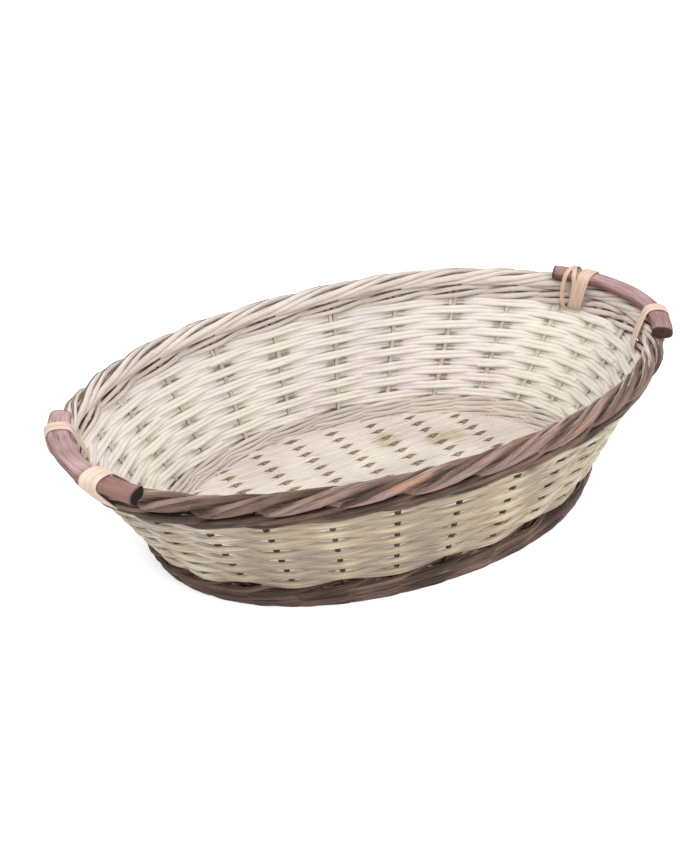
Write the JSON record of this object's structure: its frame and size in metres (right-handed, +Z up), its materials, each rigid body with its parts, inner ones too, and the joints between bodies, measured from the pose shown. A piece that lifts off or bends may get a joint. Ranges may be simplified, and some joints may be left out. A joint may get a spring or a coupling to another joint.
{
  "type": "wicker basket",
  "caption": "Shallow oval willow basket with flared woven side, rope-like rod border, waled foot and a wooden bar handle lashed on the rim at each end.",
  "frame": {"origin": "on the ground at the centre of the foot's underside, under the middle of the basket's length and width", "axes": "+X along the basket's length towards the right handle, +Y across it towards the back, +Z up"},
  "size_m": [0.42, 0.2508, 0.1051],
  "materials": {
    "brown_willow": "matte",
    "pale_willow": "matte",
    "base_willow": "matte",
    "handle_wood": "satin",
    "lashing_cane": "matte"
  },
  "bodies": {
    "root": {"stake_01": "brown_willow", "stake_02": "brown_willow", "stake_03": "brown_willow", "stake_04": "brown_willow", "stake_05": "brown_willow", "stake_06": "brown_willow", "stake_07": "brown_willow", "stake_08": "brown_willow", "stake_09": "brown_willow", "stake_10": "brown_willow", "stake_11": "brown_willow", "stake_12": "brown_willow", "stake_13": "brown_willow", "stake_14": "brown_willow", "stake_15": "brown_willow", "stake_16": "brown_willow", "stake_17": "brown_willow", "stake_18": "brown_willow", "stake_19": "brown_willow", "stake_20": "brown_willow", "stake_21": "brown_willow", "stake_22": "brown_willow", "stake_23": "brown_willow", "stake_24": "brown_willow", "stake_25": "brown_willow", "stake_26": "brown_willow", "stake_27": "brown_willow", "foot_wale_1_1": "brown_willow", "foot_wale_1_2": "brown_willow", "foot_wale_1_3": "brown_willow", "foot_wale_2_1": "brown_willow", "foot_wale_2_2": "brown_willow", "foot_wale_2_3": "brown_willow", "rim_wale_1": "brown_willow", "rim_wale_2": "brown_willow", "rim_wale_3": "brown_willow", "side_weave": "pale_willow", "base_weave": "pale_willow", "base_stick_1": "base_willow", "base_stick_2": "base_willow", "base_stick_3": "base_willow", "base_stick_4": "base_willow", "base_stick_5": "base_willow", "base_stick_6": "base_willow", "base_stick_7": "base_willow", "base_stick_8": "base_willow", "handle_left": "handle_wood", "handle_right": "handle_wood", "lashing_left_back": "lashing_cane", "lashing_left_front": "lashing_cane", "lashing_right_back": "lashing_cane", "lashing_right_front": "lashing_cane"}
  },
  "joints": []
}
